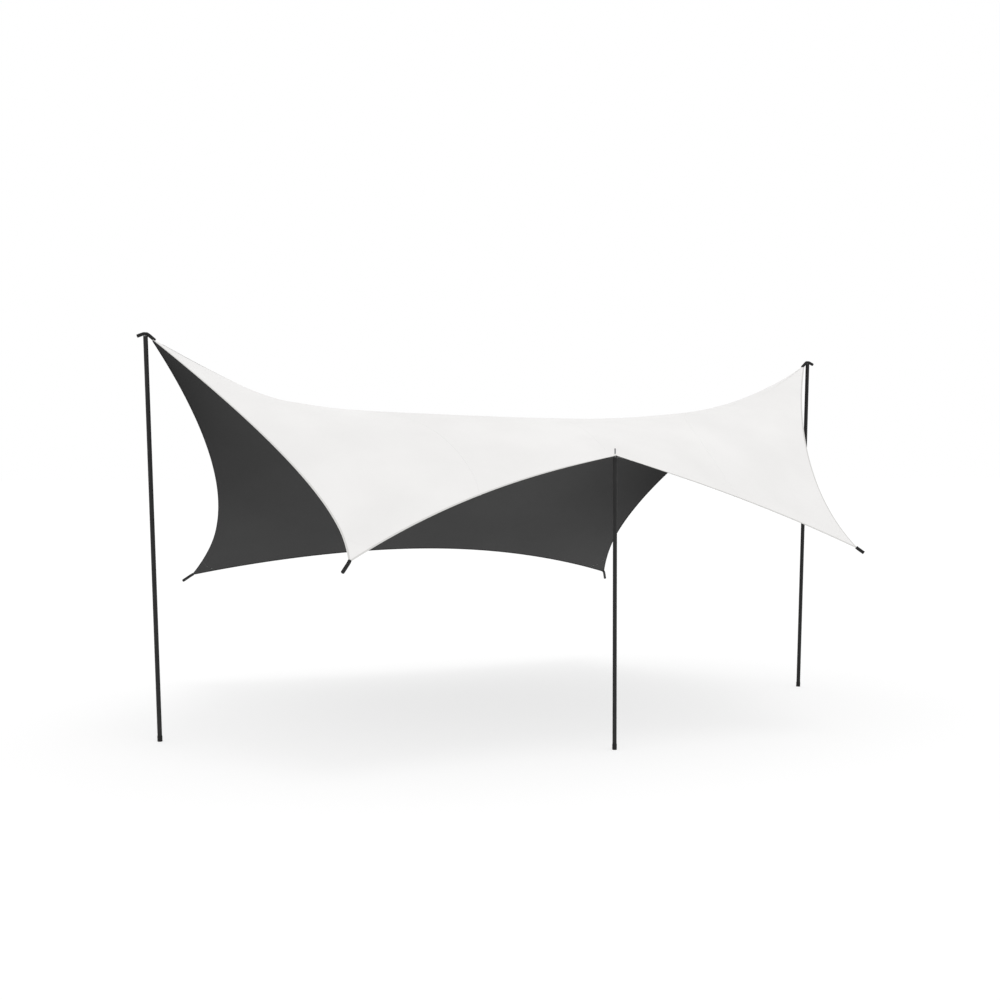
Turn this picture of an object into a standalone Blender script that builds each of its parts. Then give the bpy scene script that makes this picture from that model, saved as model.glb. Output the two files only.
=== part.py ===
"""Hexagonal tarp pitched on two leaning peak poles and an upright porch pole.

Metres, +Z up. X runs along the ridge, the porch faces -Y and the ground is Z = 0.
The cloth is a net of knots pulled tight between its corners, cut into sewn panels,
corner patches and edge hems.
"""

import math

import bmesh
import bpy
import numpy as np
from mathutils import Matrix, Vector

# Poles
PEAK_POLE_HEIGHT = 2.5
PEAK_POLE_TOP_X = 2.496
PEAK_POLE_FOOT_X = 2.423
PEAK_POLE_RADIUS = 0.014
PORCH_POLE_RADIUS = 0.0125
FOOT_HEIGHT = 0.035
FOOT_RIM = 0.0015
PIN_RADIUS = 0.0045
PEAK_PIN_LENGTH = 0.018
PORCH_PIN_ABOVE_CLOTH = 0.042
POLE_SIDES = 20
PIN_SIDES = 12
EYELET_SIDES = 24
BAR_SIDES = 16

# Corners of the cloth, in the order front to back and left to right
PEAK_X = 2.468
PEAK_Z = 2.478
PORCH_CORNER = (0.0, -1.394, 1.757)
FRONT_LEFT_CORNER = (-1.705, -1.522, 1.177)
FRONT_RIGHT_CORNER = (1.709, -1.526, 1.165)
BACK_LEFT_CORNER = (-1.818, 2.019, 0.857)
BACK_RIGHT_CORNER = (1.812, 1.964, 0.766)

# Cloth
NET_ALONG = 32
NET_ACROSS = 24
LINE_STEPS = 12
SEAMS_ALONG = (0, 8, 16, 24, 32)
SEAMS_ACROSS = (0, 12, 24)
CLOTH_THICKNESS = 0.003
DOUBLED_THICKNESS = 0.005
HEM_WIDTH = 0.010
GAP = 0.0003
SEWN_GAP = 0.0008

# Pull in each edge, and how it grows towards the low end (on the back, towards the right)
EDGE_PULLS = {
    "back": (2.938, 0.239),
    "left_back": (0.649, -0.698),
    "right_back": (0.764, -0.698),
    "left_front": (0.644, 0.854),
    "right_front": (0.396, 0.854),
    "front_left": (2.854, 0.265),
    "front_right": (6.152, 0.265),
}

# Pull in the cloth, against the pull across the ridge at its middle
PULL_ALONG = 0.1951
PULL_ALONG_AT_EDGES = (2.406, 1.688)
PULL_ALONG_AT_POLES = -1.110
PULL_ALONG_BEHIND = 0.172
PULL_ALONG_RIGHT = 0.231
PULL_ACROSS_AT_EDGES = 0.724
PULL_ACROSS_AT_POLES = (-1.035, 0.784)
PULL_ACROSS_BEHIND = -0.399
PULL_ACROSS_RIGHT = -0.057
LIFT = 0.0120

# Round straps of stuffed webbing
STRAP_RADIUS = 0.0125
CORNER_TRIM = 0.018
PEAK_TRIM = 0.020
PEAK_OVERLAP = 0.034
STRAP_BEND = 0.0205
STRAP_PAST_POLE = 0.016
TAB_BEND = 0.020
TAB_REACH = 0.050
TAB_DROP = 0.016
EYELET_CLEARANCE = 0.0005

# Each corner strap: its reach past the corner, its heading and its dip, in degrees
CORNER_STRAPS = {
    "front_left": (0.076, -139.7, 36.9),
    "front_right": (0.042, -41.8, 35.6),
    "back_left": (0.086, 140.0, 32.0),
    "back_right": (0.070, 47.3, 57.0),
}

# Porch eyelet
EYELET_INSET = 0.014
EYELET_OUTER_RADIUS = 0.009
EYELET_BELOW = 0.004
EYELET_ABOVE = 0.010
PORCH_SEAT_DROP = 0.0102
CUTTER_HEIGHT = 0.06

# Above this cosine two border edges count as one straight run
NEARLY_STRAIGHT = 0.999


def clear_scene():
    for item in list(bpy.data.objects):
        bpy.data.objects.remove(item, do_unlink=True)


def finish(name, base_color, roughness, metallic=0.0):
    """A plain material of one colour."""
    material = bpy.data.materials.new(name)
    material.use_nodes = True
    shader = material.node_tree.nodes["Principled BSDF"]
    shader.inputs["Base Color"].default_value = (*base_color, 1.0)
    shader.inputs["Roughness"].default_value = roughness
    shader.inputs["Metallic"].default_value = metallic
    return material


def coated_cloth():
    return finish("coated_cloth", (0.88, 0.87, 0.85), 0.75)


def edge_tape():
    return finish("edge_tape", (0.62, 0.62, 0.61), 0.8)


def dark_webbing():
    return finish("dark_webbing", (0.033, 0.033, 0.033), 0.85)


def painted_tube():
    return finish("painted_tube", (0.033, 0.033, 0.033), 0.45)


def moulded_foot():
    return finish("moulded_foot", (0.025, 0.025, 0.025), 0.7)


def bare_steel():
    return finish("bare_steel", (0.35, 0.35, 0.36), 0.35, 1.0)


def pale_plastic():
    return finish("pale_plastic", (0.80, 0.79, 0.77), 0.5)


def add_object(name, mesh, material, smooth_angle=35.0):
    """Turns a bmesh into a named object with shared edges smoothed below an angle."""
    bmesh.ops.recalc_face_normals(mesh, faces=mesh.faces)
    data = bpy.data.meshes.new(name)
    mesh.to_mesh(data)
    mesh.free()
    data.materials.append(material)
    data.shade_smooth()
    data.set_sharp_from_angle(angle=math.radians(smooth_angle))
    item = bpy.data.objects.new(name, data)
    bpy.context.collection.objects.link(item)
    return item


# Cloth net


def net_knot(along, across):
    return along * (NET_ACROSS + 1) + across


def held_knots():
    """The seven knots that poles and stakes hold, with their places."""
    middle_across = NET_ACROSS // 2
    middle_along = NET_ALONG // 2
    return {
        net_knot(0, middle_across): (-PEAK_X, 0.0, PEAK_Z),
        net_knot(NET_ALONG, middle_across): (PEAK_X, 0.0, PEAK_Z),
        net_knot(middle_along, 0): PORCH_CORNER,
        net_knot(0, 0): FRONT_LEFT_CORNER,
        net_knot(NET_ALONG, 0): FRONT_RIGHT_CORNER,
        net_knot(0, NET_ACROSS): BACK_LEFT_CORNER,
        net_knot(NET_ALONG, NET_ACROSS): BACK_RIGHT_CORNER,
    }


def pull_along(u, v):
    """Force density of a link that runs along the ridge."""
    out = abs(2 * v - 1)
    end = abs(2 * u - 1)
    linear, square = PULL_ALONG_AT_EDGES
    power = linear * out + square * out**2 + PULL_ALONG_AT_POLES * end**2
    power += PULL_ALONG_BEHIND * (2 * v - 1) + PULL_ALONG_RIGHT * (2 * u - 1)
    return PULL_ALONG * math.exp(power)


def pull_across(u, v):
    """Force density of a link that runs from front to back."""
    out = abs(2 * v - 1)
    end = abs(2 * u - 1)
    square, fourth = PULL_ACROSS_AT_POLES
    power = square * end**2 + fourth * end**4 + PULL_ACROSS_AT_EDGES * out**2
    power += PULL_ACROSS_BEHIND * (2 * v - 1) + PULL_ACROSS_RIGHT * (2 * u - 1)
    return math.exp(power)


def pull_in_edge(name, links, share):
    """Force density of an edge link, at its share of the way to the edge's low end."""
    pull, growth = EDGE_PULLS[name]
    return pull * links * math.exp(growth * (2 * share - 1))


def net_links():
    """Every link of the net as first knot, second knot and force density."""
    links = []
    half = NET_ALONG // 2
    for i in range(NET_ALONG):
        u = (i + 0.5) / NET_ALONG
        for j in range(1, NET_ACROSS):
            pull = pull_along(u, j / NET_ACROSS)
            links.append((net_knot(i, j), net_knot(i + 1, j), pull))
        back = pull_in_edge("back", NET_ALONG, u)
        front = pull_in_edge("front_left" if u < 0.5 else "front_right", half, abs(2 * u - 1))
        links.append((net_knot(i, NET_ACROSS), net_knot(i + 1, NET_ACROSS), back))
        links.append((net_knot(i, 0), net_knot(i + 1, 0), front))
    for j in range(NET_ACROSS):
        v = (j + 0.5) / NET_ACROSS
        for i in range(1, NET_ALONG):
            pull = pull_across(i / NET_ALONG, v)
            links.append((net_knot(i, j), net_knot(i, j + 1), pull))
        part = "front" if v < 0.5 else "back"
        for i, side in ((0, "left"), (NET_ALONG, "right")):
            pull = pull_in_edge(f"{side}_{part}", NET_ACROSS // 2, abs(2 * v - 1))
            links.append((net_knot(i, j), net_knot(i, j + 1), pull))
    return links


def relaxed_net():
    """Places of all knots once the pulls at every free knot balance."""
    count = (NET_ALONG + 1) * (NET_ACROSS + 1)
    balance = np.zeros((count, count))
    for first, second, pull in net_links():
        balance[first, first] += pull
        balance[second, second] += pull
        balance[first, second] -= pull
        balance[second, first] -= pull
    held = held_knots()
    fixed = sorted(held)
    free = [knot for knot in range(count) if knot not in held]
    places = np.zeros((count, 3))
    places[fixed] = [held[knot] for knot in fixed]
    load = -balance[np.ix_(free, fixed)] @ places[fixed]
    load[:, 2] += LIFT
    places[free] = np.linalg.solve(balance[np.ix_(free, free)], load)
    return places.reshape(NET_ALONG + 1, NET_ACROSS + 1, 3)


def smooth_line(knots):
    """Close-set points on the smooth line through the knots."""
    slopes = np.empty_like(knots)
    slopes[1:-1] = (knots[2:] - knots[:-2]) / 2
    slopes[0] = 2 * (knots[1] - knots[0]) - slopes[1]
    slopes[-1] = 2 * (knots[-1] - knots[-2]) - slopes[-2]
    points = [knots[0]]
    for k in range(len(knots) - 1):
        for step in range(1, LINE_STEPS + 1):
            t = step / LINE_STEPS
            start = (1 + 2 * t) * (1 - t) ** 2 * knots[k] + t * (1 - t) ** 2 * slopes[k]
            end = t**2 * (3 - 2 * t) * knots[k + 1] + t**2 * (t - 1) * slopes[k + 1]
            points.append(start + end)
    return np.array(points)


def even_line(knots):
    """The same line with its knots at equal distances."""
    points = smooth_line(knots)
    steps = np.linalg.norm(np.diff(points, axis=0), axis=1)
    reach = np.concatenate([[0.0], np.cumsum(steps)])
    wanted = np.linspace(0.0, reach[-1], len(knots))
    return np.stack([np.interp(wanted, reach, points[:, axis]) for axis in range(3)], axis=1)


def evened_net(net):
    """The net with its knots spread evenly on each side of the ridge and of the porch pole."""
    middle_along = NET_ALONG // 2
    middle_across = NET_ACROSS // 2
    net = net.copy()
    for j in range(NET_ACROSS + 1):
        net[: middle_along + 1, j] = even_line(net[: middle_along + 1, j])
        net[middle_along:, j] = even_line(net[middle_along:, j])
    for i in range(NET_ALONG + 1):
        net[i, : middle_across + 1] = even_line(net[i, : middle_across + 1])
        net[i, middle_across:] = even_line(net[i, middle_across:])
    return net


def cloth_sheet(net):
    """The whole cloth as a grid, with its net address and its normal kept on each vertex."""
    mesh = bmesh.new()
    bmesh.ops.create_grid(mesh, x_segments=NET_ALONG, y_segments=NET_ACROSS, size=1.0)
    along = mesh.verts.layers.int.new("along")
    across = mesh.verts.layers.int.new("across")
    outward = mesh.verts.layers.float_vector.new("outward")
    for vert in mesh.verts:
        vert[along] = round((vert.co.x + 1) / 2 * NET_ALONG)
        vert[across] = round((vert.co.y + 1) / 2 * NET_ACROSS)
        vert.co = net[vert[along], vert[across]]
    mesh.normal_update()
    for vert in mesh.verts:
        vert[outward] = vert.normal
    return mesh, along, across, outward


def cell_of(face, along, across):
    return min(v[along] for v in face.verts), min(v[across] for v in face.verts)


def inward(edge):
    """Unit vector from a border edge into its face."""
    face = edge.link_faces[0]
    start, end = (vert.co for vert in edge.verts)
    run = (end - start).normalized()
    into = face.calc_center_median() - start
    return (into - into.dot(run) * run).normalized()


def on_rim(edge, along, across):
    """Whether a border edge lies on the outline of the whole cloth."""
    first, second = edge.verts
    same_along = first[along] == second[along]
    if same_along:
        return first[along] in (0, NET_ALONG)
    return first[across] in (0, NET_ACROSS)


def drawn_in(vert, margin_of):
    """How far a border vertex moves so that each of its border edges moves in by its margin."""
    edges = [edge for edge in vert.link_edges if edge.is_boundary]
    first, second = (inward(edge) for edge in edges)
    first_margin, second_margin = (margin_of(edge) for edge in edges)
    share = first.dot(second)
    if share > NEARLY_STRAIGHT:
        return (first + second) * (first_margin + second_margin) / 4
    scale = 1 - share**2
    to_first = (first_margin - share * second_margin) / scale
    to_second = (second_margin - share * first_margin) / scale
    return to_first * first + to_second * second


def thicken(mesh, outward, thickness):
    """Gives an open sheet its thickness, half of it to each side."""
    for vert in mesh.verts:
        vert.co -= vert[outward] * thickness / 2
    faces = list(mesh.faces)
    made = bmesh.ops.extrude_face_region(mesh, geom=faces, use_keep_orig=True)
    for item in made["geom"]:
        if isinstance(item, bmesh.types.BMVert):
            item.co += item[outward] * thickness


def cloth_piece(net, wanted, thickness, rim_margin):
    """A closed piece of cloth over the wanted cells, drawn in from its neighbours."""
    mesh, along, across, outward = cloth_sheet(net)
    unwanted = [f for f in mesh.faces if cell_of(f, along, across) not in wanted]
    bmesh.ops.delete(mesh, geom=unwanted, context="FACES")

    def margin_of(edge):
        return rim_margin if on_rim(edge, along, across) else SEWN_GAP / 2

    border = [vert for vert in mesh.verts if vert.is_boundary]
    moves = [drawn_in(vert, margin_of) for vert in border]
    for vert, move in zip(border, moves):
        vert.co += move
    thicken(mesh, outward, thickness)
    return mesh


def cells(along_range, across_range):
    return {(i, j) for i in along_range for j in across_range}


def patch_cells():
    """The cells of the doubled patch at each corner, at each peak and at the porch."""
    last_along = NET_ALONG - 1
    last_across = NET_ACROSS - 1
    ridge = NET_ACROSS // 2
    middle = NET_ALONG // 2
    return {
        "front_left_patch": cells(range(0, 2), [0]),
        "front_right_patch": cells(range(last_along - 1, NET_ALONG), [0]),
        "back_left_patch": cells(range(0, 2), [last_across]),
        "back_right_patch": cells(range(last_along - 1, NET_ALONG), [last_across]),
        "left_peak_patch": cells([0], range(ridge - 1, ridge + 1)),
        "right_peak_patch": cells([last_along], range(ridge - 1, ridge + 1)),
        "porch_patch": cells(range(middle - 1, middle + 1), [0]),
    }


def make_panels(net, material):
    """The sewn panels of cloth between the seams, without the patched cells."""
    patched = set().union(*patch_cells().values())
    along_names = ("far_left", "left", "right", "far_right")
    for side, first_row in (("front", 0), ("back", 1)):
        rows = range(SEAMS_ACROSS[first_row], SEAMS_ACROSS[first_row + 1])
        for k, place in enumerate(along_names):
            columns = range(SEAMS_ALONG[k], SEAMS_ALONG[k + 1])
            wanted = cells(columns, rows) - patched
            mesh = cloth_piece(net, wanted, CLOTH_THICKNESS, HEM_WIDTH + SEWN_GAP)
            add_object(f"{side}_panel_{place}", mesh, material)


def rim_run(name):
    """The rim knots of one hem, from the patch at its start to the patch at its end."""
    middle_along = NET_ALONG // 2
    middle_across = NET_ACROSS // 2
    back = NET_ACROSS
    return {
        "back_hem": [(i, back) for i in range(2, NET_ALONG - 1)],
        "front_left_hem": [(i, 0) for i in range(2, middle_along)],
        "front_right_hem": [(i, 0) for i in range(middle_along + 1, NET_ALONG - 1)],
        "left_front_hem": [(0, j) for j in range(1, middle_across)],
        "left_back_hem": [(0, j) for j in range(middle_across + 1, back)],
        "right_front_hem": [(NET_ALONG, j) for j in range(1, middle_across)],
        "right_back_hem": [(NET_ALONG, j) for j in range(middle_across + 1, back)],
    }[name]


def along_net_line(vert, depth):
    """The same depth below the rim, reached along the net line that meets the rim here."""
    line = next(edge for edge in vert.link_edges if not edge.is_boundary)
    way = (line.other_vert(vert).co - vert.co).normalized()
    return way * depth.length_squared / way.dot(depth)


def make_hem(net, name, material):
    """A tape of constant width along one edge of the cloth."""
    sheet, along, across, outward = cloth_sheet(net)
    places = {(v[along], v[across]): v for v in sheet.verts}
    run = [places[knot] for knot in rim_run(name)]
    depth = [drawn_in(vert, lambda edge: HEM_WIDTH) for vert in run]
    ends = {0: 1, len(run) - 1: len(run) - 2}
    for end, next_to_end in ends.items():
        edge = sheet.edges.get((run[end], run[next_to_end]))
        depth[end] = along_net_line(run[end], inward(edge) * HEM_WIDTH)
    mesh = bmesh.new()
    bmesh.ops.create_grid(mesh, x_segments=len(run) - 1, y_segments=1, size=1.0)
    tape_outward = mesh.verts.layers.float_vector.new("outward")
    for vert in mesh.verts:
        k = round((vert.co.x + 1) / 2 * (len(run) - 1))
        step = depth[k] if vert.co.y > 0 else Vector()
        vert.co = run[k].co + step
        vert[tape_outward] = run[k][outward]
        if k in ends:
            vert.co += (run[ends[k]].co - run[k].co).normalized() * GAP
    sheet.free()
    thicken(mesh, tape_outward, DOUBLED_THICKNESS)
    add_object(name, mesh, material)


def corner_frame(net, i, j):
    """Tip, outward direction and surface normal of the cloth at a corner knot."""
    sheet, along, across, outward = cloth_sheet(net)
    vert = next(v for v in sheet.verts if (v[along], v[across]) == (i, j))
    rim = [edge for edge in vert.link_edges if edge.is_boundary]
    back = sum(((e.other_vert(vert).co - vert.co).normalized() for e in rim), Vector())
    normal = Vector(vert[outward])
    away = -(back - back.dot(normal) * normal).normalized()
    tip = vert.co.copy()
    sheet.free()
    return tip, away, normal


def trim_tip(mesh, tip, away, depth):
    """Cuts the point off a patch square to the pull and closes the cut."""
    plane = tip - away * depth
    everything = mesh.verts[:] + mesh.edges[:] + mesh.faces[:]
    bmesh.ops.bisect_plane(mesh, geom=everything, plane_co=plane, plane_no=away, clear_outer=True)
    rim = [edge for edge in mesh.edges if edge.is_boundary]
    bmesh.ops.edgeloop_fill(mesh, edges=rim)


def bar_along(points, radius):
    """A round bar whose middle line follows the points, mitred at bends and square at ends."""
    points = [Vector(p) for p in points]
    runs = [(end - start).normalized() for start, end in zip(points, points[1:])]
    turn = runs[0].to_track_quat("Z", "Y")
    mesh = bmesh.new()
    loop = []
    for k in range(BAR_SIDES):
        angle = 2 * math.pi * (k + 0.5) / BAR_SIDES
        reach = Vector((math.cos(angle), math.sin(angle), 0.0)) * radius
        loop.append(mesh.verts.new(points[0] + turn @ reach))
    mesh.faces.new(loop)
    for k, run in enumerate(runs):
        facing = (run + runs[min(k + 1, len(runs) - 1)]).normalized()
        goal = points[k + 1]
        ahead = []
        for vert in loop:
            travel = (goal - vert.co).dot(facing) / run.dot(facing)
            ahead.append(mesh.verts.new(vert.co + run * travel))
        for n in range(BAR_SIDES):
            mesh.faces.new((loop[n - 1], loop[n], ahead[n], ahead[n - 1]))
        loop = ahead
    mesh.faces.new(loop)
    return mesh


def make_corner(net, name, i, j, cloth, webbing):
    """A doubled corner patch with its point cut off, and the strap that leaves it."""
    tip, away, normal = corner_frame(net, i, j)
    mesh = cloth_piece(net, patch_cells()[f"{name}_patch"], DOUBLED_THICKNESS, 0.0)
    trim_tip(mesh, tip, away, CORNER_TRIM)
    add_object(f"{name}_patch", mesh, cloth)
    reach, heading, dip = CORNER_STRAPS[name]
    level = reach * math.cos(math.radians(dip))
    heading = math.radians(heading)
    drop = reach * math.sin(math.radians(dip))
    start = tip - away * (CORNER_TRIM - GAP)
    end = tip + Vector((level * math.cos(heading), level * math.sin(heading), -drop))
    add_object(f"{name}_strap", bar_along([start, tip, end], STRAP_RADIUS), webbing)


def upright_cutter(name, place, radius, material):
    """An upright cylinder that opens an eyelet."""
    mesh = bmesh.new()
    bmesh.ops.create_cone(
        mesh,
        cap_ends=True,
        segments=EYELET_SIDES,
        radius1=radius,
        radius2=radius,
        depth=CUTTER_HEIGHT,
    )
    bmesh.ops.translate(mesh, vec=Vector(place), verts=mesh.verts)
    return add_object(name, mesh, material)


def cut(item, cutter):
    """Cuts a hidden object's shape out of a piece."""
    cutter.hide_render = True
    cutter.display_type = "WIRE"
    modifier = item.modifiers.new("cut", "BOOLEAN")
    modifier.operation = "DIFFERENCE"
    modifier.solver = "EXACT"
    modifier.object = cutter


def make_peak(net, name, sign, cloth, webbing):
    """Peak patch, the strap that grips it and runs over the pole, and the tab beyond."""
    ridge = net[:: -sign, NET_ACROSS // 2]
    tip = Vector(ridge[0])
    away = (tip - Vector(ridge[1])).normalized()
    wanted = patch_cells()[f"{name}_peak_patch"]
    mesh = cloth_piece(net, wanted, DOUBLED_THICKNESS, 0.0)
    trim_tip(mesh, tip, away, PEAK_TRIM)
    add_object(f"{name}_peak_patch", mesh, cloth)
    slot = cloth_piece(net, wanted, DOUBLED_THICKNESS + 4 * SEWN_GAP, -SEWN_GAP)
    trim_tip(slot, tip, away, PEAK_TRIM - SEWN_GAP)

    pole = Vector((sign * PEAK_POLE_TOP_X, 0.0, PEAK_POLE_HEIGHT))
    out = Vector((sign, 0.0, 0.0))
    start = tip - away * PEAK_OVERLAP
    strap_path = [start, pole - out * STRAP_BEND, pole + out * STRAP_PAST_POLE]
    strap = add_object(f"{name}_peak_strap", bar_along(strap_path, STRAP_RADIUS), webbing)

    tab_start = pole + out * (STRAP_PAST_POLE + GAP)
    tab_end = pole + out * TAB_REACH - Vector((0.0, 0.0, TAB_DROP))
    tab_path = [tab_start, pole + out * TAB_BEND, tab_end]
    add_object(f"{name}_guy_tab", bar_along(tab_path, STRAP_RADIUS), webbing)

    radius = PIN_RADIUS + EYELET_CLEARANCE
    cut(strap, upright_cutter(f"{name}_eyelet_cutter", pole, radius, webbing))
    cut(strap, add_object(f"{name}_slot_cutter", slot, webbing))


# Poles


def leaning_rod(foot, top, radius, sides):
    """A round rod with level ends between two points."""
    mesh = bmesh.new()
    bmesh.ops.create_cone(
        mesh, cap_ends=True, segments=sides, radius1=radius, radius2=radius, depth=1.0
    )
    for vert in mesh.verts:
        share = vert.co.z + 0.5
        ring = Vector((vert.co.x, vert.co.y, 0.0))
        vert.co = Vector(foot).lerp(Vector(top), share) + ring
    return mesh


def make_pole(name, foot, top, radius, pin_length, tube, rubber, steel):
    """A tube on its foot cap, with a pin on its top end."""
    share = FOOT_HEIGHT / top.z
    cap_top = foot.lerp(top, share)
    cap = leaning_rod(foot, cap_top, radius + FOOT_RIM, POLE_SIDES)
    add_object(f"{name}_pole_foot", cap, rubber)
    tube_foot = cap_top + Vector((0.0, 0.0, GAP))
    add_object(f"{name}_pole", leaning_rod(tube_foot, top, radius, POLE_SIDES), tube)
    pin_foot = top + Vector((0.0, 0.0, GAP))
    pin_top = pin_foot + Vector((0.0, 0.0, pin_length))
    add_object(f"{name}_pin", leaning_rod(pin_foot, pin_top, PIN_RADIUS, PIN_SIDES), steel)


def make_porch_eyelet(net, cloth, plastic):
    """The patch that the porch pin pierces, and the ring that lines its hole."""
    edge = Vector(PORCH_CORNER)
    centre = edge + Vector((0.0, EYELET_INSET, 0.0))
    mesh = cloth_piece(net, patch_cells()["porch_patch"], DOUBLED_THICKNESS, 0.0)
    patch = add_object("porch_patch", mesh, cloth)
    cutter = upright_cutter("porch_patch_cutter", centre, EYELET_OUTER_RADIUS + GAP, cloth)
    cut(patch, cutter)
    ring = bmesh.new()
    inner = PIN_RADIUS + EYELET_CLEARANCE
    bmesh.ops.create_circle(ring, radius=EYELET_OUTER_RADIUS, segments=EYELET_SIDES)
    outer_edges = ring.edges[:]
    made = bmesh.ops.create_circle(ring, radius=inner, segments=EYELET_SIDES)
    inner_edges = list({edge for vert in made["verts"] for edge in vert.link_edges})
    bmesh.ops.bridge_loops(ring, edges=outer_edges + inner_edges)
    faces = list(ring.faces)
    made = bmesh.ops.extrude_face_region(ring, geom=faces, use_keep_orig=True)
    raised = [item for item in made["geom"] if isinstance(item, bmesh.types.BMVert)]
    bmesh.ops.translate(ring, vec=(0.0, 0.0, EYELET_BELOW + EYELET_ABOVE), verts=raised)
    low = centre - Vector((0.0, 0.0, EYELET_BELOW))
    bmesh.ops.translate(ring, vec=low, verts=ring.verts)
    add_object("porch_eyelet", ring, plastic)


def centre_on_ground():
    """Moves everything so that the middle of the outline stands over the origin."""
    solids = [item for item in bpy.data.objects if not item.hide_render]
    xs = [v.co.x for item in solids for v in item.data.vertices]
    ys = [v.co.y for item in solids for v in item.data.vertices]
    frame = bpy.data.objects.new("tarp", None)
    bpy.context.collection.objects.link(frame)
    for item in bpy.data.objects:
        if item is not frame:
            item.parent = frame
    frame.location = (-(min(xs) + max(xs)) / 2, -(min(ys) + max(ys)) / 2, 0.0)


clear_scene()
cloth = coated_cloth()
tape = edge_tape()
webbing = dark_webbing()
tube = painted_tube()
rubber = moulded_foot()
steel = bare_steel()

net = evened_net(relaxed_net())
make_panels(net, cloth)
for hem in (
    "back_hem",
    "front_left_hem",
    "front_right_hem",
    "left_front_hem",
    "left_back_hem",
    "right_front_hem",
    "right_back_hem",
):
    make_hem(net, hem, tape)
make_corner(net, "front_left", 0, 0, cloth, webbing)
make_corner(net, "front_right", NET_ALONG, 0, cloth, webbing)
make_corner(net, "back_left", 0, NET_ACROSS, cloth, webbing)
make_corner(net, "back_right", NET_ALONG, NET_ACROSS, cloth, webbing)
make_peak(net, "left", -1, cloth, webbing)
make_peak(net, "right", 1, cloth, webbing)
make_porch_eyelet(net, cloth, pale_plastic())

for name, sign in (("left", -1), ("right", 1)):
    foot = Vector((sign * PEAK_POLE_FOOT_X, 0.0, 0.0))
    top = Vector((sign * PEAK_POLE_TOP_X, 0.0, PEAK_POLE_HEIGHT))
    top = foot.lerp(top, 1 - (STRAP_RADIUS + GAP) / PEAK_POLE_HEIGHT)
    make_pole(name, foot, top, PEAK_POLE_RADIUS, PEAK_PIN_LENGTH, tube, rubber, steel)
porch_y = PORCH_CORNER[1] + EYELET_INSET
porch_top = PORCH_CORNER[2] - PORCH_SEAT_DROP
porch_pin = PORCH_SEAT_DROP + PORCH_PIN_ABOVE_CLOTH
make_pole(
    "porch",
    Vector((0.0, porch_y, 0.0)),
    Vector((0.0, porch_y, porch_top)),
    PORCH_POLE_RADIUS,
    porch_pin,
    tube,
    rubber,
    steel,
)
centre_on_ground()
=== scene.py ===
"""Looks of the hexagonal tarp: its sewn cloth, webbing, poles and fittings, in metres.

The cloth has the shape of a net of knots pulled tight between the poles and the corners.
Its sizes and pulls are those of the part's source, and its place comes from the frame.
"""

import math

import bmesh
import bpy
import numpy as np
from mathutils import Matrix, Vector


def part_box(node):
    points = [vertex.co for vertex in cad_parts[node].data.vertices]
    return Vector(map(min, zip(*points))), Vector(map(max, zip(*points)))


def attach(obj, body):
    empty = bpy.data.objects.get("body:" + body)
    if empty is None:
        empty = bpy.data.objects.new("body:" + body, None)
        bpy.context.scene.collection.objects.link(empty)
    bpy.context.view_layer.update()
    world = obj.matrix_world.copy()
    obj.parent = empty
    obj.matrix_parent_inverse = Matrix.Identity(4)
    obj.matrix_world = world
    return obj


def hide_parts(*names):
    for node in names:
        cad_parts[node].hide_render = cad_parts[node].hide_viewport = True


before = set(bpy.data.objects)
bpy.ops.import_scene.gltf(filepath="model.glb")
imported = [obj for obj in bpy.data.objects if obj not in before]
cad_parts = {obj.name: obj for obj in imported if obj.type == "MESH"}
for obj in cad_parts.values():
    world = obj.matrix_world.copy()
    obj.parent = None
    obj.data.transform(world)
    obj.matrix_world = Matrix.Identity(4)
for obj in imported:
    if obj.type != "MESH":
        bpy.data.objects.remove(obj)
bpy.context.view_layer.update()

# Millimetre, for the small sizes of thread, tape and webbing
MM = 0.001

# Poles
POLE_LEAN = 0.073
PEAK_POLE_HEIGHT = 2.5
PEAK_POLE_TOP_X = 2.496
FOOT_HEIGHT = 0.035
FOOT_RIM = 1.5 * MM
TUBE_SIDES = 48
TUBE_WALL = 0.8 * MM
TUBE_CHAMFER = 0.6 * MM
SECTION_LENGTH = 0.625
SECTION_GROOVE = 0.35 * MM
GROOVE_HALF_WIDTH = 0.5 * MM
TUBE_MOUTH_DEPTH = 20 * MM
GRIP_GROOVES = (9 * MM, 15 * MM, 21 * MM)
GRIP_GROOVE_HALF_WIDTHS = (0.7 * MM, 1.4 * MM)
GRIP_GROOVE_DEPTH = 0.6 * MM
PLUG_DEPTH = 15 * MM
PLUG_PLAY = 0.1 * MM
PLUG_RIM = 0.25 * MM
PIN_RADIUS = 4.5 * MM
PIN_ROUNDING = 1.2 * MM
PIN_ROOT = 8 * MM

# Corners of the cloth
PEAK_X = 2.468
PEAK_Z = 2.478
PORCH_CORNER = (0.0, -1.394, 1.757)
FRONT_LEFT_CORNER = (-1.705, -1.522, 1.177)
FRONT_RIGHT_CORNER = (1.709, -1.526, 1.165)
BACK_LEFT_CORNER = (-1.818, 2.019, 0.857)
BACK_RIGHT_CORNER = (1.812, 1.964, 0.766)

# Net of knots
NET_ALONG = 32
NET_ACROSS = 24
LINE_STEPS = 12
FINE = 4

# Pull in each edge, and how it grows towards the low end (on the back, towards the right)
EDGE_PULLS = {
    "back": (2.938, 0.239),
    "left_back": (0.649, -0.698),
    "right_back": (0.764, -0.698),
    "left_front": (0.644, 0.854),
    "right_front": (0.396, 0.854),
    "front_left": (2.854, 0.265),
    "front_right": (6.152, 0.265),
}

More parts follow.
